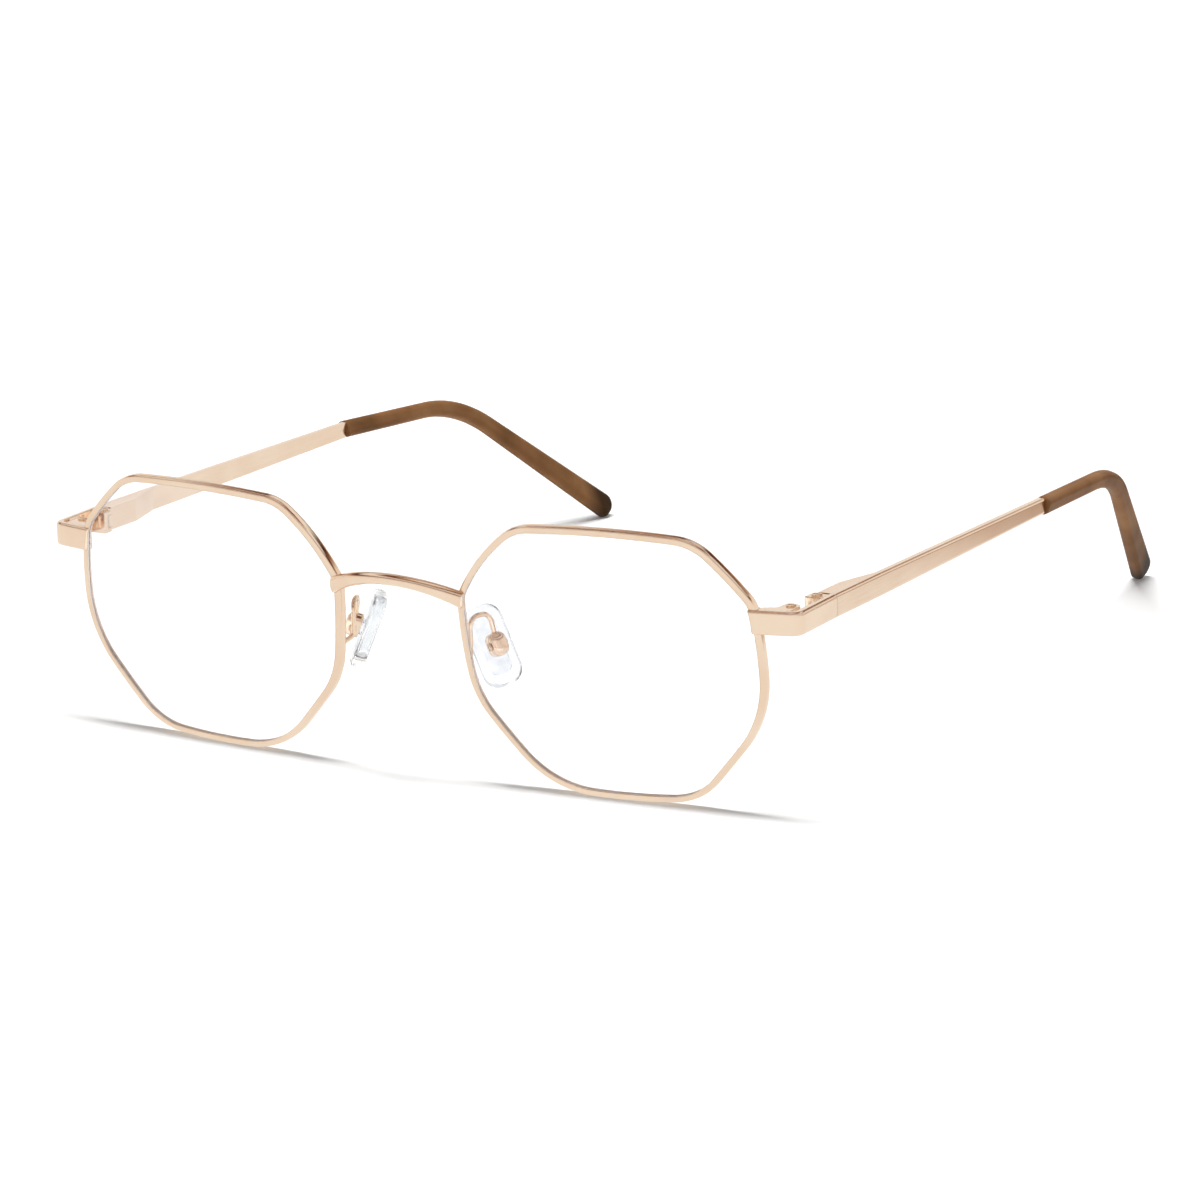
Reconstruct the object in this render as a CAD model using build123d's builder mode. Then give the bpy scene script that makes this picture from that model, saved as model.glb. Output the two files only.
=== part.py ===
from build123d import *
import os
from math import cos, radians, sin, sqrt, tan

os.makedirs("parts", exist_ok=True)

# Hexagonal eyeglasses, in millimetres and degrees. X runs across the face, Y from
# the front to the back, and Z up from the table. The left side is the wearer's left,
# at +X, and the right side is its mirror image.
# Each lens with its rim is drawn flat, and then takes the base curve of the lens.
lens_width = 46.9
lens_height = 40.2
bridge_width = 20.8
lens_wrap = 3.85
lens_tilt = 6.45
base_curve = 180.0
endpiece_reach = 6.15
hinge_setback = 12.75
overrun = 2.0
touching = 0.001

# Corners of the eye shape: across and up as shares of half the lens width and height,
# the corner's radius as a share of half the height, and the bow of the side that
# follows as a share of half the width.
lens_corner_shares = [
    (0.603, 0.974, 0.42, 0.0147),
    (0.972, 0.543, 0.274, 0.0273),
    (1.000, -0.312, 0.86, 0.0059),
    (0.537, -0.966, 0.50, 0.0235),
    (-0.462, -0.983, 0.74, 0.0063),
    (-0.933, -0.348, 0.672, 0.0168),
    (-0.999, 0.408, 0.159, 0.0412),
    (-0.578, 0.967, 0.36, 0.0273),
]

# Heights of the temples, the bridge and its ends above the middle of the lens, as
# shares of half the lens height
temple_rise_share = 0.4443
bridge_rise_share = 0.5065
bridge_end_share = 0.3791

# Rim wire, lens and the groove that holds it
rim_width = 1.0
rim_depth = 1.45
rim_round = 0.35
groove_depth = 0.4
groove_width = 0.7
lens_thickness = 1.2
lens_clearance = 0.03

# Bridge bar
bridge_bow = 3.88
bridge_end_lead = 0.55
bridge_mid_height = 1.7
bridge_end_height = 2.5
bridge_depth = 1.8
bridge_overlap = 0.7

# Endpiece: a flat bar from the rim to the corner, and back to the hinge
endpiece_height = 3.5
endpiece_thickness = 1.1
endpiece_root_lead = 1.57
endpiece_root_overlap = 1.3
endpiece_corner_setback = 0.15
endpiece_corner_radius = 2.2
edge_round = 0.45
seam_gap = 0.05

# Rim lock: two blocks behind the endpiece, drawn together by a screw
lock_barrel_radius = 1.3
lock_inset = 3.15
lock_setback = 3.67
lock_top_drop = 0.1
lock_height = 3.4
lock_lower_height = 0.9
lock_slit = 0.15
lock_root_overlap = 0.8
lock_root_lead = 0.3
lock_root_setback = 1.03
lock_screw_radius = 0.55
lock_head_radius = 0.75
lock_head_height = 0.2

# Hinge
hinge_inset = 2.55
hinge_height = 3.3
hinge_ear = 0.7
hinge_radius = 1.25
hinge_block_length = 1.4
hinge_web = 0.15
hinge_gap = 0.05
hinge_screw_radius = 0.6
hinge_head_radius = 0.8
hinge_head_height = 0.2
hinge_clearance = 0.04
screw_clearance = 0.02

# Slot in each screw head, as shares of the radius and height of the head
slot_width_share = 0.35
slot_depth_share = 0.5

# Spring box, slider, spring and bush
box_thickness = 3.0
box_length = 6.6
box_taper = 7.4
slider_width = 1.05
slider_offset = 0.2
slider_length = 2.6
slider_clearance = 0.05
rod_offset = 0.85
rod_radius = 0.35
rod_length = 9.0
rod_head_radius = 0.6
rod_head_length = 0.8
bore_radius = 0.75
bore_length = 6.6
bush_length = 1.2
bush_clearance = 0.02
spring_wire = 0.22
spring_turns = 7
spring_clearance = 0.05

# Temple arm
arm_thickness = 1.1
arm_end_height = 2.5
arm_fall = 1.2
core_radius = 0.5
core_clearance = 0.05
core_root = 1.0
core_drop = 30.0
core_bore_extra = 0.5

# Temple tip: from its mouth past the bend over the ear to its end on the table
mouth_distance = 71.38
bend_distance = 102.96
end_distance = 136.94
bend_toe_in = 2.3
end_toe_in = 9.9
bend_fall = 1.9
tip_end_rise = 1.25
bend_radius = 30.0
tip_thickness = 2.3
tip_mouth_height = 2.8
tip_bend_height = 2.7
tip_end_height = 4.2
tip_end_top = 1.6
tip_end_under = 0.6
tip_top_round = 1.9
tip_under_round = 0.8
tip_mouth_round = 0.3
tip_edge_round = 0.9

# Nose pad, its box and its arm
pad_lean = 24.0
pad_splay = 32.1
pad_inset = 2.2
pad_setback = 5.31
pad_drop = 0.32
pad_length = 12.4
pad_width = 6.2
pad_corner = 2.5
pad_thickness = 2.1
pad_face_round = 1.1
pad_back_round = 0.6
pad_gap = 0.35
box_width = 2.8
box_rise = 3.6
box_depth = 2.2
box_wall = 0.4
box_round = 1.2
boss_width = 1.6
boss_length = 1.9
boss_height = 1.95
pad_screw_radius = 0.35
pad_head_radius = 0.6
pad_head_height = 0.25
pad_clearance = 0.04
wire_diameter = 0.75
arm_foot_share = 0.97
arm_foot_drop = 1.8
arm_foot_depth = 0.2
arm_heel_outset = 0.3
arm_heel_setback = 1.61
arm_heel_rise = 0.9
arm_loop_rise = 4.6
arm_loop_inset = 0.9
arm_loop_setback = 5.01
arm_loop_radius = 1.6
arm_heel_radius = 0.7

# Places that follow from the sizes
nose_side_x = bridge_width / 2
eye_x = nose_side_x + lens_width / 2
temple_side_x = nose_side_x + lens_width
outer_half_width = temple_side_x + endpiece_reach
tip_reach = hinge_setback + end_distance
eye_y = -(tip_reach - bridge_bow) / 2
eye_z = (lens_height + rim_width) / 2 * cos(radians(lens_tilt))
temple_mid_height = eye_z + temple_rise_share * lens_height / 2
hinge_x = outer_half_width - hinge_inset
hinge_y = eye_y + hinge_setback
temple_front = hinge_y + hinge_radius + 2 * hinge_gap
leg_inner = outer_half_width - endpiece_thickness
lens_plane = Plane(Location((eye_x, eye_y, eye_z), (lens_tilt, 0, lens_wrap)) * Plane.XZ.location)
curve_centre = lens_plane.offset(-base_curve).location


# Place on the curved middle of a lens, or a distance in front of it
def lens_place(across, up, lead):
    sag = base_curve - sqrt(base_curve**2 - across**2 - up**2)
    return lens_plane.from_local_coords((across, up, lead - sag))


rim_side = lens_place(lens_width / 2, temple_mid_height - eye_z, 0)


# Outline of the eye shape along the middle of the rim wire
lens_corners = [
    (across * lens_width / 2, up * lens_height / 2)
    for across, up, radius, bow in lens_corner_shares
]
with BuildSketch(Plane.XY) as rim_middle:
    with BuildLine():
        for place, (across, up, radius, bow) in enumerate(lens_corner_shares):
            following = lens_corners[(place + 1) % len(lens_corners)]
            SagittaArc(lens_corners[place], following, bow * lens_width / 2)
    make_face()
    for corner, (across, up, radius, bow) in zip(lens_corners, lens_corner_shares):
        fillet(rim_middle.vertices().sort_by_distance(corner)[0], radius * lens_height / 2)


# The same outline, each of its arcs moved out by the growth
def eye_shape(growth):
    with BuildSketch(Plane.XY) as shape:
        with BuildLine():
            for side in rim_middle.sketch.face().outer_wire().edges():
                points = []
                for along in (0, 1 / 2, 1):
                    outward = (side % along).cross(Vector(0, 0, 1))
                    if outward.dot(side @ along) < 0:
                        outward = -outward
                    points.append(side @ along + outward * growth)
                ThreePointArc(*points)
        make_face()
    return shape.sketch


rim_outer = eye_shape(rim_width / 2)
rim_inner = eye_shape(-rim_width / 2)
groove_outer = eye_shape(groove_depth - rim_width / 2)
lens_edge = eye_shape(-rim_width / 2 - lens_clearance)
lens_ridge = eye_shape(groove_depth - rim_width / 2 - lens_clearance)

# An outline made solid, and bent to the base curve as a slice between two spheres
cut_depth = lens_width / 2


def curved_solid(outline, thickness):
    with BuildPart() as slice_of_curve:
        with BuildSketch(lens_plane.offset(-cut_depth)):
            add(outline)
        extrude(amount=2 * cut_depth)
        with Locations(curve_centre):
            Sphere(base_curve + thickness / 2, rotation=(90, 0, 0), mode=Mode.INTERSECT)
            Sphere(base_curve - thickness / 2, rotation=(90, 0, 0), mode=Mode.SUBTRACT)
    return slice_of_curve.part


# Rim: wire bent round the lens on its base curve, grooved inside and slit at its lock
lock_low = temple_mid_height + endpiece_height / 2 - lock_top_drop - lock_height
slit_z = lock_low + lock_lower_height
rim_band = curved_solid(rim_outer - rim_inner, rim_depth)
groove = curved_solid(groove_outer, groove_width)
with BuildPart() as rim:
    add(rim_band)
    outer_edges = ShapeList()
    for rim_face in rim.faces().filter_by(GeomType.SPHERE):
        outer_edges += rim_face.outer_wire().edges()
    fillet(outer_edges, rim_round)
    add(groove, mode=Mode.SUBTRACT)
    with Locations((temple_side_x, eye_y, slit_z)):
        Box(lens_width / 2, lens_width / 2, lock_slit, mode=Mode.SUBTRACT)
rim.part.label = "rim"

# Lens: a clear shell on the base curve, with a ridge round its edge for the groove
lens_shell = curved_solid(lens_edge, lens_thickness)
ridge = curved_solid(lens_ridge, groove_width - 2 * lens_clearance)
with BuildPart() as lens:
    add(lens_shell)
    add(ridge)
lens.part.label = "lens"

# The space inside the rim wire and its groove, which what is brazed to the rim keeps clear
with BuildPart() as eye_space:
    with BuildSketch(lens_plane.offset(-cut_depth)):
        add(rim_inner)
    extrude(amount=2 * cut_depth)
    add(groove)

# Bridge: a round bar arched up and forward, thicker where it is brazed to the rims
bridge_mid = Vector(0, eye_y - bridge_bow, eye_z + bridge_rise_share * lens_height / 2)
bridge_seat = lens_place(-lens_width / 2, bridge_end_share * lens_height / 2, bridge_end_lead)
bridge_end = Vector(nose_side_x + bridge_overlap, bridge_seat.Y, bridge_seat.Z)
bridge_far_end = Vector(-bridge_end.X, bridge_end.Y, bridge_end.Z)
with BuildPart() as bridge:
    with BuildLine() as bridge_line:
        ThreePointArc(bridge_far_end, bridge_mid, bridge_end)
    for along, height in ((0, bridge_end_height), (1 / 2, bridge_mid_height), (1, bridge_end_height)):
        tangent = bridge_line.line % along
        upright = Vector(0, 0, 1) - tangent * tangent.Z
        with BuildSketch(Plane(bridge_line.line @ along, x_dir=upright, z_dir=tangent)):
            Ellipse(height / 2, bridge_depth / 2)
    sweep(multisection=True)
    for occupied in (rim.part, eye_space.part):
        add(occupied, mode=Mode.SUBTRACT)
        add(mirror(occupied, about=Plane.YZ, mode=Mode.PRIVATE), mode=Mode.SUBTRACT)
bridge.part.label = "bridge"

# Endpiece: a flat bar from the front of the rim to the corner, and back to the hinge
corner_y = rim_side.Y + endpiece_corner_setback
endpiece_low = temple_mid_height - endpiece_height / 2
endpiece_root = Vector(temple_side_x - endpiece_root_overlap, rim_side.Y - endpiece_root_lead)
endpiece_line = FilletPolyline(
    endpiece_root,
    (outer_half_width, corner_y),
    (outer_half_width, temple_front - seam_gap),
    radius=endpiece_corner_radius,
)
with BuildPart() as endpiece:
    with BuildSketch(Plane.XY.offset(endpiece_low)):
        with BuildLine():
            add(endpiece_line)
            offset(amount=endpiece_thickness, side=Side.LEFT, closed=True)
        make_face()
    extrude(amount=endpiece_height)
    outer_edges = ShapeList()
    for height in (endpiece_low, endpiece_low + endpiece_height):
        level_line = endpiece_line.moved(Location((0, 0, height)))
        outer_edges += endpiece.edges().filter_by(
            lambda edge: level_line.distance_to(edge @ (1 / 2)) < touching
        )
    fillet(outer_edges, edge_round)
    add(rim.part, mode=Mode.SUBTRACT)
    add(eye_space.part, mode=Mode.SUBTRACT)
endpiece.part.label = "endpiece"

# Rim lock: an upper block on the endpiece and rim, and a lower block on the rim alone
lock_x = outer_half_width - lock_inset
lock_y = rim_side.Y + lock_setback
lock_root_x = temple_side_x - lock_root_overlap
with BuildSketch(Plane.XY) as lock_plan:
    with BuildLine():
        Polyline(
            (lock_root_x, rim_side.Y - lock_root_lead),
            (lock_x + lock_barrel_radius, corner_y + endpiece_thickness / 2),
            (lock_x + lock_barrel_radius, lock_y),
            (lock_x - lock_barrel_radius, lock_y),
            (lock_x - lock_barrel_radius, lock_y - lock_barrel_radius),
            (lock_root_x, rim_side.Y + lock_root_setback),
            close=True,
        )
    make_face()
    with Locations((lock_x, lock_y)):
        Circle(lock_barrel_radius)
        Circle(lock_screw_radius + screw_clearance, mode=Mode.SUBTRACT)
lock_blocks = []
for label, low, high in (
    ("rim_lock_upper", slit_z + lock_slit / 2, lock_low + lock_height),
    ("rim_lock_lower", lock_low, slit_z - lock_slit / 2),
):
    with BuildPart() as lock_block:
        with BuildSketch(Plane.XY.offset(low)):
            add(lock_plan.sketch_local)
        extrude(amount=high - low)
        for occupied in (rim.part, eye_space.part, endpiece.part):
            add(occupied, mode=Mode.SUBTRACT)
    lock_block.part.label = label
    lock_blocks.append(lock_block)


# Screw with a slotted head, standing on a plane with its shank below
def slotted_screw(label, plane, shank_radius, shank_length, head_radius, head_height):
    with BuildPart() as screw:
        with BuildSketch(plane):
            Circle(shank_radius)
        extrude(amount=-shank_length)
        with BuildSketch(plane):
            Circle(head_radius)
        extrude(amount=head_height)
        with BuildSketch(plane.offset(head_height)):
            Rectangle(2 * head_radius, head_radius * slot_width_share)
        extrude(amount=-head_height * slot_depth_share, mode=Mode.SUBTRACT)
    screw.part.label = label
    return screw


rim_lock_screw = slotted_screw(
    "rim_lock_screw",
    Plane((lock_x, lock_y, lock_low + lock_height)),
    lock_screw_radius,
    lock_height - lock_slit,
    lock_head_radius,
    lock_head_height,
)

# Front hinge leaf: a block brazed inside the endpiece, with an ear above and below
ear_space = hinge_height - 2 * hinge_ear
with BuildPart() as hinge_front:
    with BuildSketch(Plane.XY.offset(temple_mid_height - hinge_height / 2)):
        with Locations((hinge_x, hinge_y)):
            Circle(hinge_radius)
        with Locations((leg_inner, hinge_y)):
            Rectangle(
                leg_inner - hinge_x + hinge_radius, hinge_block_length, align=(Align.MAX, Align.MAX)
            )
            Rectangle(leg_inner - hinge_x, hinge_radius - hinge_gap, align=(Align.MAX, Align.MIN))
        with Locations((hinge_x, hinge_y)):
            Circle(hinge_screw_radius + screw_clearance, mode=Mode.SUBTRACT)
    extrude(amount=hinge_height)
    with BuildSketch(Plane.XY.offset(temple_mid_height - ear_space / 2)):
        with Locations((hinge_x, hinge_y)):
            Circle(hinge_radius + hinge_gap)
        with Locations((leg_inner - hinge_web, hinge_y)):
            Rectangle(hinge_block_length * 2, hinge_block_length, align=(Align.MAX, Align.MIN))
    extrude(amount=ear_space, mode=Mode.SUBTRACT)
hinge_front.part.label = "hinge_front"

hinge_screw = slotted_screw(
    "hinge_screw",
    Plane((hinge_x, hinge_y, temple_mid_height + hinge_height / 2)),
    hinge_screw_radius,
    hinge_height,
    hinge_head_radius,
    hinge_head_height,
)

# Flex slider: the middle knuckle, a flat shank, and a rod with a head for the spring
slider_height = ear_space - 2 * hinge_gap
rod_x = hinge_x + rod_offset
rod_root = hinge_y + slider_length
with BuildPart() as flex_slider:
    with BuildSketch(Plane.XY.offset(temple_mid_height - slider_height / 2)):
        with Locations((hinge_x, hinge_y)):
            Circle(hinge_radius)
        with Locations((hinge_x + slider_offset, hinge_y)):
            Rectangle(slider_width, slider_length, align=(Align.MIN, Align.MIN))
        with Locations((hinge_x, hinge_y)):
            Circle(hinge_screw_radius + hinge_clearance, mode=Mode.SUBTRACT)
    extrude(amount=slider_height)
    with BuildSketch(Plane((rod_x, rod_root, temple_mid_height), z_dir=(0, 1, 0))):
        Circle(rod_radius)
    extrude(amount=rod_length - slider_length)
    with BuildSketch(Plane((rod_x, hinge_y + rod_length, temple_mid_height), z_dir=(0, 1, 0))):
        Circle(rod_head_radius)
    extrude(amount=-rod_head_length)
flex_slider.part.label = "flex_slider"

# Flex bush, stopped by the step behind the slider's pocket, and the spring on the rod
pocket_end = rod_root + slider_clearance
with BuildPart() as flex_bush:
    with BuildSketch(Plane((rod_x, pocket_end, temple_mid_height), z_dir=(0, 1, 0))):
        Circle(bore_radius - bush_clearance)
        Circle(rod_radius + hinge_clearance, mode=Mode.SUBTRACT)
    extrude(amount=bush_length)
flex_bush.part.label = "flex_bush"

spring_front = pocket_end + bush_length + spring_clearance + spring_wire / 2
spring_back = hinge_y + rod_length - rod_head_length - spring_clearance - spring_wire / 2
spring_length = spring_back - spring_front
spring_radius = (rod_radius + bore_radius) / 2
with BuildPart() as flex_spring:
    with BuildLine() as coil:
        Helix(
            spring_length / spring_turns,
            spring_length,
            spring_radius,
            center=(rod_x, spring_front, temple_mid_height),
            direction=(0, 1, 0),
        )
    with BuildSketch(Plane(coil.line @ 0, z_dir=coil.line % 0)):
        Circle(spring_wire / 2)
    sweep(is_frenet=True)
flex_spring.part.label = "flex_spring"

# The tip lies in a plane of its own, which leans in towards the head past the bend
mouth_y = hinge_y + mouth_distance
tip_mouth = Vector(outer_half_width - arm_thickness / 2, mouth_y, temple_mid_height - arm_fall)
tip_bend = Vector(tip_mouth.X - bend_toe_in, hinge_y + bend_distance, tip_mouth.Z - bend_fall)
tip_end = Vector(tip_bend.X - end_toe_in, hinge_y + end_distance, tip_end_rise)
tip_run = tip_bend - tip_mouth
tip_drop = tip_end - tip_bend
bend_angle = tip_run.get_angle(tip_drop)
tip_plane = Plane(tip_mouth, x_dir=tip_run, z_dir=tip_run.cross(tip_drop))
drop_across = Vector(-sin(radians(bend_angle)), cos(radians(bend_angle)))
half_across = Vector(-sin(radians(bend_angle / 2)), cos(radians(bend_angle / 2)))
drop_along = Vector(cos(radians(bend_angle)), sin(radians(bend_angle)))


# Bent rod along the middle of the tip, as far as a distance past the bend
bend_tangent = bend_radius * tan(radians(bend_angle / 2))


def bent_rod(radius, drop):
    with BuildPart() as rod:
        with BuildLine() as middle:
            run = Line((-core_root, 0), (tip_run.length - bend_tangent, 0))
            bend = JernArc(run @ 1, run % 1, bend_radius, bend_angle)
            Line(bend @ 1, bend @ 1 + (bend % 1) * (drop - bend_tangent))
        with BuildSketch(Plane.YZ.offset(-core_root)):
            Circle(radius)
        sweep()
    return rod.part.moved(tip_plane.location)


core_wire = bent_rod(core_radius, core_drop)
core_bore = bent_rod(core_radius + core_clearance, core_drop + core_bore_extra)


# Temple: spring box, a thin arm that gets lower to the back, and the core of the tip
box_inner = outer_half_width - box_thickness
box_end = temple_front + box_length
half_height = endpiece_height / 2
box_fall = arm_fall * (box_length + box_taper) / (mouth_y - temple_front)
with BuildPart() as temple:
    with BuildSketch(Plane.YZ.offset(outer_half_width)):
        with BuildLine():
            Polyline(
                (temple_front, temple_mid_height + half_height),
                (box_end + box_taper, temple_mid_height - box_fall + half_height),
                (mouth_y, tip_mouth.Z + arm_end_height / 2),
                (mouth_y, tip_mouth.Z - arm_end_height / 2),
                (box_end + box_taper, temple_mid_height - box_fall - half_height),
                (temple_front, temple_mid_height - half_height),
                close=True,
            )
        make_face()
    extrude(amount=-box_thickness)
    with BuildSketch(Plane.XY):
        with BuildLine():
            Polyline(
                (box_inner - overrun, box_end),
                (box_inner, box_end),
                (leg_inner, box_end + box_taper),
                (leg_inner, mouth_y + overrun),
                (box_inner - overrun, mouth_y + overrun),
                close=True,
            )
        make_face()
    extrude(amount=2 * temple_mid_height, mode=Mode.SUBTRACT)
    outer_face = temple.faces().sort_by(Axis.X)[-1]
    fillet(outer_face.edges().filter_by(lambda edge: abs((edge % 0).Y) > abs((edge % 0).Z)), edge_round)
    pocket_middle = hinge_x + slider_offset + slider_width / 2
    with BuildSketch(Plane((pocket_middle, temple_front, temple_mid_height), (1, 0, 0), (0, 1, 0))):
        Rectangle(slider_width + 2 * slider_clearance, slider_height + 2 * slider_clearance)
    extrude(amount=pocket_end - temple_front, mode=Mode.SUBTRACT)
    with BuildSketch(Plane((rod_x, pocket_end, temple_mid_height), z_dir=(0, 1, 0))):
        Circle(bore_radius)
    extrude(amount=bore_length, mode=Mode.SUBTRACT)
    add(core_wire)
temple.part.label = "temple"

# Temple tip: an acetate sleeve, bent over the ear, deeper and cut at a slant at its end
bend_point = Vector(tip_run.length, 0)
half_bend = half_across * (tip_bend_height / 2)
end_point = bend_point + drop_along * tip_drop.length
half_end = drop_across * (tip_end_height / 2)
with BuildPart() as temple_tip:
    with BuildSketch(tip_plane.offset(-tip_thickness / 2)) as tip_shape:
        with BuildLine():
            Polyline(
                (-overrun, -tip_mouth_height / 2),
                bend_point - half_bend,
                end_point - half_end + drop_along * tip_end_top,
                end_point + half_end - drop_along * tip_end_under,
                bend_point + half_bend,
                (-overrun, tip_mouth_height / 2),
                close=True,
            )
        make_face()
        for corner, radius in (
            (bend_point - half_bend, bend_radius + tip_bend_height / 2),
            (bend_point + half_bend, bend_radius - tip_bend_height / 2),
            (end_point - half_end + drop_along * tip_end_top, tip_top_round),
            (end_point + half_end - drop_along * tip_end_under, tip_under_round),
        ):
            fillet(tip_shape.vertices().sort_by_distance(corner)[0], radius)
    extrude(amount=tip_thickness)
    long_edges = temple_tip.edges().filter_by(
        lambda edge: abs((edge % (1 / 2)).dot(tip_plane.z_dir)) < touching
    )
    mouth_edges = long_edges.sort_by(Axis.Y)[:2]
    fillet(long_edges - mouth_edges, tip_edge_round)
    split(bisect_by=Plane.XZ.offset(-mouth_y), keep=Keep.BOTTOM)
    fillet(temple_tip.faces().sort_by(Axis.Y)[0].edges(), tip_mouth_round)
    add(core_bore, mode=Mode.SUBTRACT)
temple_tip.part.label = "temple_tip"

# Nose pad box: a cup over the pad's boss, square to the side of the nose
pad_up = Vector(-sin(radians(pad_lean)), 0, cos(radians(pad_lean)))
pad_side = Vector(cos(radians(pad_lean)), 0, sin(radians(pad_lean)))
pad_normal = pad_side * cos(radians(pad_splay)) - Vector(0, 1, 0) * sin(radians(pad_splay))
arm_foot = lens_place(
    -arm_foot_share * lens_width / 2, -arm_foot_drop, arm_foot_depth - rim_depth / 2
)
box_centre = Vector(nose_side_x + pad_inset, arm_foot.Y + pad_setback, eye_z - pad_drop)
box_plane = Plane(box_centre, x_dir=pad_up.cross(pad_normal), z_dir=pad_normal)
pad_axis = Plane(box_centre, x_dir=pad_up, z_dir=box_plane.x_dir)
with BuildPart() as pad_box:
    with BuildSketch(box_plane.offset(-box_depth / 2)):
        RectangleRounded(box_width, box_rise, box_round)
    extrude(amount=box_depth)
    fillet(pad_box.faces().sort_by(Axis(box_centre, pad_normal))[-1].edges(), box_round)
    with BuildSketch(box_plane.offset(-box_depth / 2)):
        RectangleRounded(box_width - 2 * box_wall, box_rise - 2 * box_wall, box_round - box_wall)
    extrude(amount=box_depth - box_wall, mode=Mode.SUBTRACT)
    with BuildSketch(pad_axis.offset(-box_width)):
        Circle(pad_screw_radius + screw_clearance)
    extrude(amount=2 * box_width, mode=Mode.SUBTRACT)
pad_box.part.label = "pad_box"

pad_screw = slotted_screw(
    "pad_screw",
    Plane(box_centre - box_plane.x_dir * box_width / 2, x_dir=pad_up, z_dir=-box_plane.x_dir),
    pad_screw_radius,
    box_width,
    pad_head_radius,
    pad_head_height,
)

# Nose pad: clear silicone, rounded towards the nose, with a boss that the screw holds
pad_plane = box_plane.offset(-box_depth / 2 - pad_gap)
with BuildPart() as nose_pad:
    with BuildSketch(pad_plane):
        RectangleRounded(pad_width, pad_length, pad_corner)
    extrude(amount=-pad_thickness)
    pad_faces = nose_pad.faces().filter_by(GeomType.PLANE).sort_by(Axis(box_centre, pad_normal))
    fillet(pad_faces[0].edges(), pad_face_round)
    pad_faces = nose_pad.faces().filter_by(GeomType.PLANE).sort_by(Axis(box_centre, pad_normal))
    fillet(pad_faces[-1].edges(), pad_back_round)
    with BuildSketch(pad_plane):
        Rectangle(boss_width, boss_length)
    extrude(amount=boss_height)
    with BuildSketch(pad_axis.offset(-boss_width)):
        Circle(pad_screw_radius + pad_clearance)
    extrude(amount=2 * boss_width, mode=Mode.SUBTRACT)
nose_pad.part.label = "nose_pad"

# Pad arm: wire from the back of the rim, up and over in a loop, and down to the box
heel_x = nose_side_x - arm_heel_outset
heel_y = arm_foot.Y + arm_heel_setback
loop_z = box_centre.Z + arm_loop_rise
with BuildPart() as pad_arm:
    with BuildLine() as arm_line:
        FilletPolyline(
            arm_foot,
            (heel_x, heel_y, arm_foot.Z + arm_heel_rise),
            (heel_x, heel_y, loop_z),
            (nose_side_x + arm_loop_inset, arm_foot.Y + arm_loop_setback, loop_z),
            box_centre + pad_up * (box_rise - box_wall) / 2,
            radius=(arm_heel_radius, arm_loop_radius, arm_loop_radius),
        )
    with BuildSketch(Plane(arm_line.line @ 0, z_dir=arm_line.line % 0)):
        Circle(wire_diameter / 2)
    sweep()
    add(rim.part, mode=Mode.SUBTRACT)
    add(pad_box.part, mode=Mode.SUBTRACT)
pad_arm.part.label = "pad_arm"

# The bridge is single, and every other piece has its mirror image on the wearer's right
export_step(bridge.part, "parts/bridge.step")
side_pieces = [
    rim,
    lens,
    endpiece,
    *lock_blocks,
    rim_lock_screw,
    hinge_front,
    hinge_screw,
    flex_slider,
    flex_bush,
    flex_spring,
    temple,
    temple_tip,
    pad_arm,
    pad_box,
    pad_screw,
    nose_pad,
]
for piece in side_pieces:
    name = piece.part.label
    with BuildPart() as twin:
        mirror(piece.part, about=Plane.YZ)
    piece.part.label = name + "_left"
    twin.part.label = name + "_right"
    export_step(piece.part, "parts/" + name + "_left.step")
    export_step(twin.part, "parts/" + name + "_right.step")
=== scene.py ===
import bpy, bmesh
from math import cos, radians, sin
from mathutils import Matrix, Vector


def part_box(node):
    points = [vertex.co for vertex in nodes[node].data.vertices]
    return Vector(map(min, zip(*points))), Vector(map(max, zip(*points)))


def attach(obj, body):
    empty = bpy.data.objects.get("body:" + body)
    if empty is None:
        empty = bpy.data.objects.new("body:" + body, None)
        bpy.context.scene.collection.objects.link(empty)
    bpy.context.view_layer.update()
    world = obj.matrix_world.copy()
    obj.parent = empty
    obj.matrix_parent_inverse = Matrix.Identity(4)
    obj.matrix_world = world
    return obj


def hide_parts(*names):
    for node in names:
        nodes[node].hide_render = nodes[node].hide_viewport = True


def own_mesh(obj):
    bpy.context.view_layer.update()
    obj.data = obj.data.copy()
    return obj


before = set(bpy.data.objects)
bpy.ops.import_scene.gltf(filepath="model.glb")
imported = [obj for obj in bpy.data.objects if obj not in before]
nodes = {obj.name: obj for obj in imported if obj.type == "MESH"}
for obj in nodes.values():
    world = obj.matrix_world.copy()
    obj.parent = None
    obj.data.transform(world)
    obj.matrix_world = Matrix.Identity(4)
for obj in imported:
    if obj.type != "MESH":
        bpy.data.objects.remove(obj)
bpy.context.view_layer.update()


# Studio room: white walls and ceiling that mirror in the polished metal, with one dark warm
# band halfway up and one high up. They draw the thin brown lines along the metal's edges.
# Each tone stands at the height of a direction, from 0 for level to 1 for straight up.
room_tones = [
    (0.0, "#FFFFFF"), (0.40, "#F8F0E8"), (0.46, "#A06844"), (0.50, "#4A1E0C"), (0.58, "#4A1E0C"),
    (0.64, "#FFFFFF"), (0.76, "#FFFFFF"), (0.81, "#8A5030"), (0.90, "#5A2A12"), (0.95, "#D8B89C"),
    (1.0, "#FFFFFF"),
]
fill_strength = 0.3
half_bounce = 0.5


def linear(hex_colour):
    values = [int(hex_colour[i:i + 2], 16) / 255 for i in (1, 3, 5)]
    return [v / 12.92 if v <= 0.04045 else ((v + 0.055) / 1.055) ** 2.4 for v in values] + [1.0]


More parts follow.
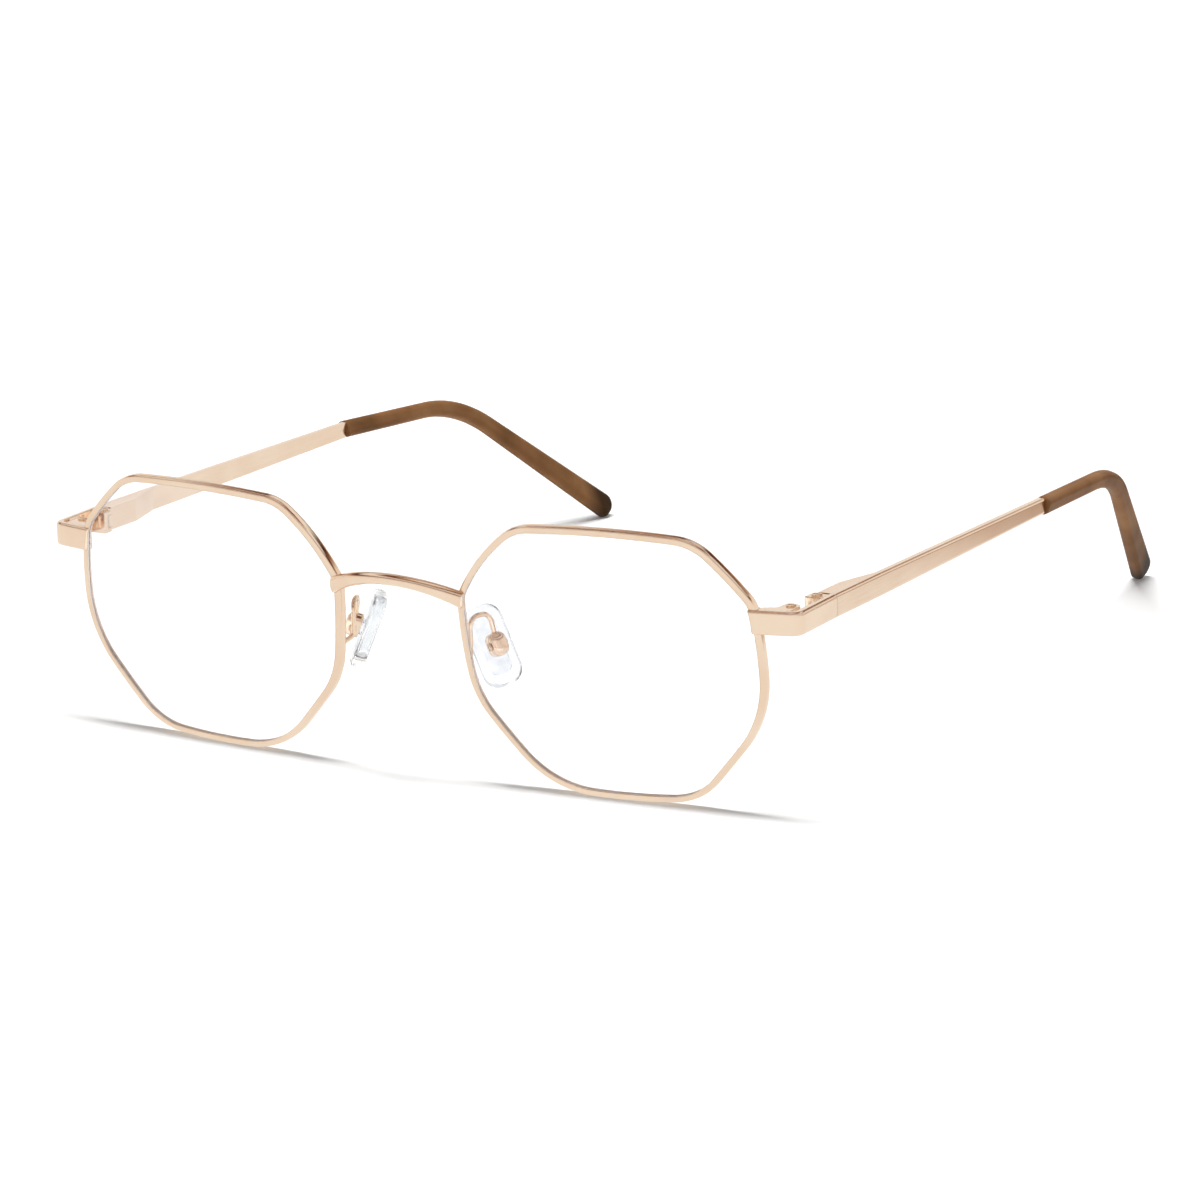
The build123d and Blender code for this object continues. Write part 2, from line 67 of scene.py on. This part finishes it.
def node(tree, kind, settings=None, links=None):
    made = tree.nodes.new(kind)
    for name, value in (settings or {}).items():
        if name == "stops":
            elements = made.color_ramp.elements
            for place, colour in value[1:-1]:
                elements.new(place)
            for element, (place, colour) in zip(elements, value):
                element.position = place
                element.color = linear(colour)
        elif isinstance(name, int) or name in made.inputs:
            made.inputs[name].default_value = value
        else:
            setattr(made, name, value)
    for name, source in (links or {}).items():
        tree.links.new(source, made.inputs[name])
    return made


scene = bpy.context.scene
world = bpy.data.worlds.new("studio_room")
scene.world = world
world.use_nodes = True
room = world.node_tree
room.nodes.clear()
direction = node(room, "ShaderNodeTexCoord")
height = node(room, "ShaderNodeSeparateXYZ", links={0: direction.outputs["Generated"]})
walls = node(room, "ShaderNodeValToRGB", {"stops": room_tones}, {"Fac": height.outputs["Z"]})

# The bands show in mirrors only. The camera, clear glass and matt surfaces get a white room.
ray = node(room, "ShaderNodeLightPath")
unmirrored = node(room, "ShaderNodeMath", {"operation": "LESS_THAN", 1: half_bounce},
                  {0: ray.outputs["Glossy Depth"]})
through_glass = node(room, "ShaderNodeMath", {"operation": "MULTIPLY"},
                     {0: ray.outputs["Is Transmission Ray"], 1: unmirrored.outputs[0]})
clear_view = node(room, "ShaderNodeMath", {"operation": "MAXIMUM"},
                  {0: ray.outputs["Is Camera Ray"], 1: through_glass.outputs[0]})
plain = node(room, "ShaderNodeMath", {"operation": "MAXIMUM"},
             {0: clear_view.outputs[0], 1: ray.outputs["Is Diffuse Ray"]})
seen = node(room, "ShaderNodeMix", {"data_type": "RGBA", 7: linear("#FFFFFF")},
            {0: plain.outputs[0], 6: walls.outputs["Color"]})
fill = node(room, "ShaderNodeMapRange", {"To Min": 1.0, "To Max": fill_strength},
            {"Value": ray.outputs["Is Diffuse Ray"]})
glow = node(room, "ShaderNodeBackground", links={"Color": seen.outputs[2], "Strength": fill.outputs[0]})
node(room, "ShaderNodeOutputWorld", links={"Surface": glow.outputs[0]})

# Table: a matt white sheet that runs on as the background. It takes the frame's shadow near
# the middle, and past that it is lit to plain white. To mirror rays alone it glows instead, white
# and then warm grey towards its far left corner: a painted reflection that darkens the left
# temple towards its end, while the camera sees the table white there.
mm = 0.001
table_reach = 6000 * mm
shadow_reach = 160 * mm
white_reach = 300 * mm
shadow_lift = 0.08
corner_start = 170 * mm
corner_end = 250 * mm
# Painted reflection: tones the table glows with in mirror rays only, from white to warm grey towards its
# far left corner.
painted_reflection_tones = [(0.0, "#FFFFFF"), (0.1, "#FCFAF8"), (0.29, "#EEDFD9"), (0.54, "#CDBDB1"), (1.0, "#B49A84")]

table_mesh = bpy.data.meshes.new("studio_table")
table_bm = bmesh.new()
bmesh.ops.create_grid(table_bm, x_segments=2, y_segments=2, size=table_reach)
table_bm.to_mesh(table_mesh)
table_bm.free()
table = bpy.data.objects.new("studio_table", table_mesh)
scene.collection.objects.link(table)

white_sheet = bpy.data.materials.new("matt_white_table_sheet")
white_sheet.use_nodes = True
tree = white_sheet.node_tree
tree.nodes.clear()
ray = node(tree, "ShaderNodeLightPath")
place = node(tree, "ShaderNodeTexCoord")
distance = node(tree, "ShaderNodeVectorMath", {"operation": "LENGTH"}, {0: place.outputs["Object"]})
far = node(tree, "ShaderNodeMapRange",
           {"From Min": shadow_reach, "From Max": white_reach, "To Min": shadow_lift},
           {"Value": distance.outputs["Value"]})
to_corner = node(tree, "ShaderNodeVectorMath", {"operation": "DOT_PRODUCT", 1: (1.0, 1.0, 0.0)},
                 {0: place.outputs["Object"]})
corner = node(tree, "ShaderNodeMapRange", {"From Min": corner_start, "From Max": corner_end},
              {"Value": to_corner.outputs["Value"]})
painted_reflection_ramp = node(tree, "ShaderNodeValToRGB", {"stops": painted_reflection_tones}, {"Fac": corner.outputs[0]})
in_metal = node(tree, "ShaderNodeMath", {"operation": "SUBTRACT", "use_clamp": True},
                {0: ray.outputs["Is Glossy Ray"], 1: ray.outputs["Is Transmission Ray"]})
matt = node(tree, "ShaderNodeBsdfDiffuse", {"Color": linear("#F7F7F7")})
# Painted reflection: in mirror rays the table glows in these tones, which darken the left temple towards
# its end.
painted_reflection_glow = node(tree, "ShaderNodeEmission", links={"Color": painted_reflection_ramp.outputs["Color"]})
shown = node(tree, "ShaderNodeMath", {"operation": "MAXIMUM"},
             {0: ray.outputs["Is Camera Ray"], 1: ray.outputs["Is Transmission Ray"]})
lift = node(tree, "ShaderNodeMath", {"operation": "MULTIPLY"}, {0: shown.outputs[0], 1: far.outputs[0]})
lit = node(tree, "ShaderNodeEmission", {"Color": linear("#FFFFFF")}, {"Strength": lift.outputs[0]})
sheet = node(tree, "ShaderNodeAddShader", links={0: matt.outputs[0], 1: lit.outputs[0]})
mixed = node(tree, "ShaderNodeMixShader",
             links={0: in_metal.outputs[0], 1: sheet.outputs[0], 2: painted_reflection_glow.outputs[0]})
node(tree, "ShaderNodeOutputMaterial", links={"Surface": mixed.outputs[0]})
table_mesh.materials.append(white_sheet)

# Strip lamp: long across the face and narrow from front to back, right overhead, so that
# each upright rim throws a thin dark streak on the table.
strip_place = (0.0, -150 * mm, 1100 * mm)
strip_width = 750 * mm
strip_depth = 150 * mm
strip_power = 13.0

strip = bpy.data.lights.new("overhead_strip_lamp", "AREA")
strip.shape = "RECTANGLE"
strip.size = strip_width
strip.size_y = strip_depth
strip.energy = strip_power
strip_holder = bpy.data.objects.new("overhead_strip_lamp", strip)
strip_holder.location = strip_place
strip_holder.visible_glossy = False
scene.collection.objects.link(strip_holder)

# Camera of the photograph, found from the rims and temples: about 800 mm from the middle of
# the frame, 30 degrees to the wearer's left and 15 degrees up, and turned a little.
camera_place = Vector((391.746, -701.650, 222.650)) * mm
camera_azimuth = 29.718
camera_elevation = 14.880
camera_roll = -1.2505
focal_length = 158.35
sensor_width = 36.0
nearest = 50 * mm
farthest = 50000 * mm

camera = bpy.data.cameras.new("photo_camera")
camera.lens = focal_length
camera.sensor_width = sensor_width
camera.clip_start = nearest
camera.clip_end = farthest
eye = bpy.data.objects.new("photo_camera", camera)
turn = Matrix.Rotation(radians(camera_azimuth), 4, "Z")
tip_down = Matrix.Rotation(radians(90 - camera_elevation), 4, "X")
roll = Matrix.Rotation(radians(camera_roll), 4, "Z")
eye.matrix_world = Matrix.Translation(camera_place) @ turn @ tip_down @ roll
scene.collection.objects.link(eye)
scene.camera = eye
scene.view_settings.view_transform = "Standard"

# Rims: nickel alloy wire rolled with a groove inside, bent to shape and joined by the lock.
# Plated in rose gold and polished, they mirror the room in a pale warm pink. The plating runs
# softly over each edge, and a fine haze from the polishing wheel breaks the mirror up.
sides = ("left", "right")
plating_tints = [(0.35, "#F1DAC2"), (0.65, "#ECD2B8")]
tint_size = 9 * mm
haze_size = 0.6 * mm
edge_softness = 0.4 * mm
noise_low = 0.3
noise_high = 0.7


def new_material(name):
    material = bpy.data.materials.new(name)
    material.use_nodes = True
    material.node_tree.nodes.clear()
    return material, material.node_tree


def wear(part, material):
    for side in sides:
        slots = nodes[f"{part}_{side}"].data.materials
        slots.clear()
        slots.append(material)


polished_gold, tree = new_material("polished_rose_gold_plating")
place = node(tree, "ShaderNodeTexCoord")
soft_edge = node(tree, "ShaderNodeBevel", {"samples": 6, "Radius": edge_softness})
cloud = node(tree, "ShaderNodeTexNoise", {"Scale": 1 / tint_size, "Detail": 2.0},
             {"Vector": place.outputs["Object"]})
tint = node(tree, "ShaderNodeValToRGB", {"stops": plating_tints}, {"Fac": cloud.outputs["Fac"]})
haze = node(tree, "ShaderNodeTexNoise", {"Scale": 1 / haze_size, "Detail": 3.0},
            {"Vector": place.outputs["Object"]})
rough = node(tree, "ShaderNodeMapRange",
             {"From Min": noise_low, "From Max": noise_high, "To Min": 0.1, "To Max": 0.17},
             {"Value": haze.outputs["Fac"]})
gold = node(tree, "ShaderNodeBsdfPrincipled", {"Metallic": 1.0},
            {"Base Color": tint.outputs["Color"], "Roughness": rough.outputs[0],
             "Normal": soft_edge.outputs[0]})
node(tree, "ShaderNodeOutputMaterial", links={"Surface": gold.outputs[0]})
wear("rim", polished_gold)

# Lenses: clear cast resin, 1.2 mm thick on a 180 mm base curve, coated against reflections.
# The edge is ground to a ridge for the groove and stays frosted, a pale line inside the rim.
# The edge is told by its normal, which turns away from the lens's axis along Y.
film_tints = [(0.4, "#FEFEFF"), (0.6, "#FCFCFF")]
film_size = 20 * mm
edge_normal = 0.82
face_normal = 0.9
ground_roughness = 0.5

clear_resin, tree = new_material("clear_cast_lens_resin")
place = node(tree, "ShaderNodeTexCoord")
film = node(tree, "ShaderNodeTexNoise", {"Scale": 1 / film_size, "Detail": 1.0},
            {"Vector": place.outputs["Object"]})
tint = node(tree, "ShaderNodeValToRGB", {"stops": film_tints}, {"Fac": film.outputs["Fac"]})
surface = node(tree, "ShaderNodeNewGeometry")
facing = node(tree, "ShaderNodeSeparateXYZ", links={0: surface.outputs["True Normal"]})
along_axis = node(tree, "ShaderNodeMath", {"operation": "ABSOLUTE"}, {0: facing.outputs["Y"]})
grind = node(tree, "ShaderNodeMapRange",
             {"From Min": edge_normal, "From Max": face_normal, "To Min": ground_roughness, "To Max": 0.0},
             {"Value": along_axis.outputs[0]})
resin = node(tree, "ShaderNodeBsdfPrincipled",
             {"IOR": 1.4, "Transmission Weight": 1.0, "Specular IOR Level": 0.3},
             {"Base Color": tint.outputs["Color"], "Roughness": grind.outputs[0]})
node(tree, "ShaderNodeOutputMaterial", links={"Surface": resin.outputs[0]})
wear("lens", clear_resin)

# Bridge: a round bar of the same metal, arched by hand, with its ends flattened over the
# rims and brazed there before plating.
bridge_slots = nodes["bridge"].data.materials
bridge_slots.clear()
bridge_slots.append(polished_gold)

# Nose pad arms and boxes: bent wire brazed behind each rim, with a stamped cup at its end,
# plated together with the rims.
wear("pad_arm", polished_gold)
wear("pad_box", polished_gold)

# Nose pads: clear silicone moulded round a stiffer plate. The soft outer skin is milky and
# a little rough to the touch, so it blurs what lies behind it.
silicone_tints = [(0.35, "#F0F1F2"), (0.65, "#DEE1E3")]
silicone_cloud_size = 2 * mm

clear_silicone, tree = new_material("clear_moulded_silicone")
place = node(tree, "ShaderNodeTexCoord")
cloud = node(tree, "ShaderNodeTexNoise", {"Scale": 1 / silicone_cloud_size, "Detail": 2.0},
             {"Vector": place.outputs["Object"]})
tint = node(tree, "ShaderNodeValToRGB", {"stops": silicone_tints}, {"Fac": cloud.outputs["Fac"]})
rough = node(tree, "ShaderNodeMapRange",
             {"From Min": noise_low, "From Max": noise_high, "To Min": 0.12, "To Max": 0.2},
             {"Value": cloud.outputs["Fac"]})
silicone = node(tree, "ShaderNodeBsdfPrincipled", {"IOR": 1.32, "Transmission Weight": 1.0},
                {"Base Color": tint.outputs["Color"], "Roughness": rough.outputs[0]})
node(tree, "ShaderNodeOutputMaterial", links={"Surface": silicone.outputs[0]})
wear("nose_pad", clear_silicone)
for side in sides:
    nodes[f"nose_pad_{side}"].visible_shadow = False

# Pad plates: a stiffer clear plate of moulded polycarbonate inside each pad, with rounded
# corners. The silicone is moulded round it, and it backs the boss that holds the screw. It
# lies halfway through the pad, and leans and splays with it.
plate_length = 8.8 * mm
plate_width = 3.4 * mm
plate_thickness = 0.8 * mm
plate_corner = 1.2 * mm
plate_edge = 0.15 * mm
plate_depth = 1.05 * mm
pad_lean = radians(24.0)
pad_splay = radians(32.1)
plate_tints = [(0.35, "#FFFFFF"), (0.65, "#EDF0F2")]
plate_cloud_size = 1.5 * mm

pad_up = Vector((-sin(pad_lean), 0, cos(pad_lean)))
pad_out = Vector((cos(pad_lean) * cos(pad_splay), -sin(pad_splay), sin(pad_lean) * cos(pad_splay)))
pad_across = pad_up.cross(pad_out)
pad_points = [vertex.co for vertex in nodes["nose_pad_left"].data.vertices]


def middle(direction):
    reach = [point.dot(direction) for point in pad_points]
    return direction * (min(reach) + max(reach)) / 2


pad_face = min(point.dot(pad_out) for point in pad_points)
plate_centre = middle(pad_up) + middle(pad_across) + pad_out * (pad_face + plate_depth)
plate_seat = Matrix((pad_across, pad_out, pad_up)).transposed().to_4x4()

clear_plate, tree = new_material("clear_moulded_polycarbonate_plate")
place = node(tree, "ShaderNodeTexCoord")
cloud = node(tree, "ShaderNodeTexNoise", {"Scale": 1 / plate_cloud_size, "Detail": 2.0},
             {"Vector": place.outputs["Object"]})
tint = node(tree, "ShaderNodeValToRGB", {"stops": plate_tints}, {"Fac": cloud.outputs["Fac"]})
rough = node(tree, "ShaderNodeMapRange",
             {"From Min": noise_low, "From Max": noise_high, "To Min": 0.02, "To Max": 0.08},
             {"Value": cloud.outputs["Fac"]})
polycarbonate = node(tree, "ShaderNodeBsdfPrincipled", {"IOR": 1.12, "Transmission Weight": 1.0},
                     {"Base Color": tint.outputs["Color"], "Roughness": rough.outputs[0]})
node(tree, "ShaderNodeOutputMaterial", links={"Surface": polycarbonate.outputs[0]})

for side, mirror in (("left", 1), ("right", -1)):
    bm = bmesh.new()
    bmesh.ops.create_cube(bm, size=1.0)
    bmesh.ops.scale(bm, vec=(plate_width, plate_thickness, plate_length), verts=bm.verts)
    upright = [e for e in bm.edges if abs(e.verts[0].co.y - e.verts[1].co.y) > plate_thickness / 2]
    bmesh.ops.bevel(bm, geom=upright, affect="EDGES", offset=plate_corner, segments=6,
                    profile=0.5, material=-1)
    around = [e for e in bm.edges if abs(e.verts[0].co.y - e.verts[1].co.y) < plate_thickness / 2]
    bmesh.ops.bevel(bm, geom=around, affect="EDGES", offset=plate_edge, segments=2,
                    profile=0.5, material=-1)
    bmesh.ops.transform(bm, matrix=Matrix.Translation(plate_centre) @ plate_seat, verts=bm.verts)
    bmesh.ops.scale(bm, vec=(mirror, 1, 1), verts=bm.verts)
    bmesh.ops.recalc_face_normals(bm, faces=bm.faces)
    mesh = bpy.data.meshes.new(f"pad_plate_{side}")
    bm.to_mesh(mesh)
    bm.free()
    for face in mesh.polygons:
        face.use_smooth = True
    mesh.materials.append(clear_plate)
    plate = bpy.data.objects.new(f"pad_plate_{side}", mesh)
    plate.visible_shadow = False
    scene.collection.objects.link(plate)
    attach(plate, f"pad_body_{side}")

# Endpieces, rim locks and front hinge leaves: a flat bar bent to the hinge, the two blocks
# behind it that the lock screw draws together, and the leaf with two knuckles. Milled,
# brazed, plated and polished.
for part in ("endpiece", "rim_lock_upper", "rim_lock_lower", "hinge_front"):
    wear(part, polished_gold)

# Screws and bushes: turned from steel, the screws with a sawn slot, and plated to match but
# less smooth, so that they look a shade deeper than the frame.
screw_tints = [(0.35, "#E8CFB4"), (0.65, "#DCC0A2")]
tool_mark_size = 0.3 * mm

turned_steel, tree = new_material("turned_and_plated_screw_steel")
place = node(tree, "ShaderNodeTexCoord")
haze = node(tree, "ShaderNodeTexNoise", {"Scale": 1 / tool_mark_size, "Detail": 2.0},
            {"Vector": place.outputs["Object"]})
tint = node(tree, "ShaderNodeValToRGB", {"stops": screw_tints}, {"Fac": haze.outputs["Fac"]})
rough = node(tree, "ShaderNodeMapRange",
             {"From Min": noise_low, "From Max": noise_high, "To Min": 0.2, "To Max": 0.32},
             {"Value": haze.outputs["Fac"]})
steel = node(tree, "ShaderNodeBsdfPrincipled", {"Metallic": 1.0},
             {"Base Color": tint.outputs["Color"], "Roughness": rough.outputs[0]})
node(tree, "ShaderNodeOutputMaterial", links={"Surface": steel.outputs[0]})
for part in ("rim_lock_screw", "hinge_screw", "pad_screw", "flex_bush", "flex_spring"):
    wear(part, turned_steel)

# Coil springs: seven turns of steel wire on each slider's rod, hidden in the spring box. When
# the temple is pulled outwards, the rod's head presses the turns towards the bush.
weld_distance = 0.001 * mm

for side in sides:
    bm = bmesh.new()
    bm.from_mesh(nodes[f"flex_spring_{side}"].data)
    bmesh.ops.remove_doubles(bm, verts=bm.verts, dist=weld_distance)
    mesh = bpy.data.meshes.new(f"coil_spring_{side}")
    bm.to_mesh(mesh)
    bm.free()
    mesh.materials.append(turned_steel)
    spring = bpy.data.objects.new(f"coil_spring_{side}", mesh)
    scene.collection.objects.link(spring)
    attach(spring, f"temple_body_{side}")
    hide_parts(f"flex_spring_{side}")
    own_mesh(spring)

# Sliders and temples: stamped from strip, with the spring box milled at the front, and plated
# in the same rose gold. Polished along their length, which leaves fine lines in the plating
# and a softer mirror.
line_width = 0.12 * mm
line_length = 6 * mm
line_depth = 0.01 * mm
temple_tint_size = 11 * mm

brushed_gold, tree = new_material("length_polished_rose_gold_plating")
place = node(tree, "ShaderNodeTexCoord")
drawn = node(tree, "ShaderNodeMapping", {"Scale": (1 / line_width, 1 / line_length, 1 / line_width)},
             {"Vector": place.outputs["Object"]})
lines = node(tree, "ShaderNodeTexNoise", {"Scale": 1.0, "Detail": 3.0}, {"Vector": drawn.outputs[0]})
cloud = node(tree, "ShaderNodeTexNoise", {"Scale": 1 / temple_tint_size, "Detail": 2.0},
             {"Vector": place.outputs["Object"]})
tint = node(tree, "ShaderNodeValToRGB", {"stops": plating_tints}, {"Fac": cloud.outputs["Fac"]})
rough = node(tree, "ShaderNodeMapRange",
             {"From Min": noise_low, "From Max": noise_high, "To Min": 0.14, "To Max": 0.24},
             {"Value": lines.outputs["Fac"]})
bump = node(tree, "ShaderNodeBump", {"Strength": 0.05, "Distance": line_depth},
            {"Height": lines.outputs["Fac"]})
gold = node(tree, "ShaderNodeBsdfPrincipled", {"Metallic": 1.0},
            {"Base Color": tint.outputs["Color"], "Roughness": rough.outputs[0],
             "Normal": bump.outputs[0]})
node(tree, "ShaderNodeOutputMaterial", links={"Surface": gold.outputs[0]})
wear("temple", brushed_gold)
wear("flex_slider", brushed_gold)

# Tips: brown translucent acetate, pushed warm over the temple's core wire, bent and tumbled
# to a satin skin. Light that gets in comes out amber, and the solid end past the wire's
# reach looks darkest.
acetate_tints = [(0.32, "#8C6643"), (0.5, "#7E5837"), (0.68, "#6C4B2D")]
end_tint = "#3A2714"
swirl_size = 10 * mm
grain_size = 0.12 * mm
grain_depth = 0.05 * mm
glow_depth = 1.2 * mm
end_length = 5.5 * mm
end_fade = 2 * mm

tip_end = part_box("temple_tip_left")[1]
end_start = tip_end.y - end_length

satin_acetate, tree = new_material("satin_brown_acetate")
place = node(tree, "ShaderNodeTexCoord")
cloud = node(tree, "ShaderNodeTexNoise", {"Scale": 1 / swirl_size, "Detail": 3.0},
             {"Vector": place.outputs["Object"]})
amber = node(tree, "ShaderNodeValToRGB", {"stops": acetate_tints}, {"Fac": cloud.outputs["Fac"]})
along = node(tree, "ShaderNodeSeparateXYZ", links={0: place.outputs["Object"]})
near_end = node(tree, "ShaderNodeMapRange",
                {"From Min": end_start - end_fade, "From Max": end_start + end_fade},
                {"Value": along.outputs["Y"]})
tint = node(tree, "ShaderNodeMix", {"data_type": "RGBA", 7: linear(end_tint)},
            {0: near_end.outputs[0], 6: amber.outputs["Color"]})
grain = node(tree, "ShaderNodeTexNoise", {"Scale": 1 / grain_size, "Detail": 2.0},
             {"Vector": place.outputs["Object"]})
rough = node(tree, "ShaderNodeMapRange",
             {"From Min": noise_low, "From Max": noise_high, "To Min": 0.36, "To Max": 0.46},
             {"Value": grain.outputs["Fac"]})
bump = node(tree, "ShaderNodeBump", {"Strength": 0.08, "Distance": grain_depth},
            {"Height": grain.outputs["Fac"]})
acetate = node(tree, "ShaderNodeBsdfPrincipled",
               {"IOR": 1.48, "Transmission Weight": 0.04, "Specular IOR Level": 0.03,
                "Subsurface Weight": 0.35, "Subsurface Radius": (1.0, 0.42, 0.16),
                "Subsurface Scale": glow_depth},
               {"Base Color": tint.outputs[2], "Roughness": rough.outputs[0],
                "Normal": bump.outputs[0]})
node(tree, "ShaderNodeOutputMaterial", links={"Surface": acetate.outputs[0]})
wear("temple_tip", satin_acetate)
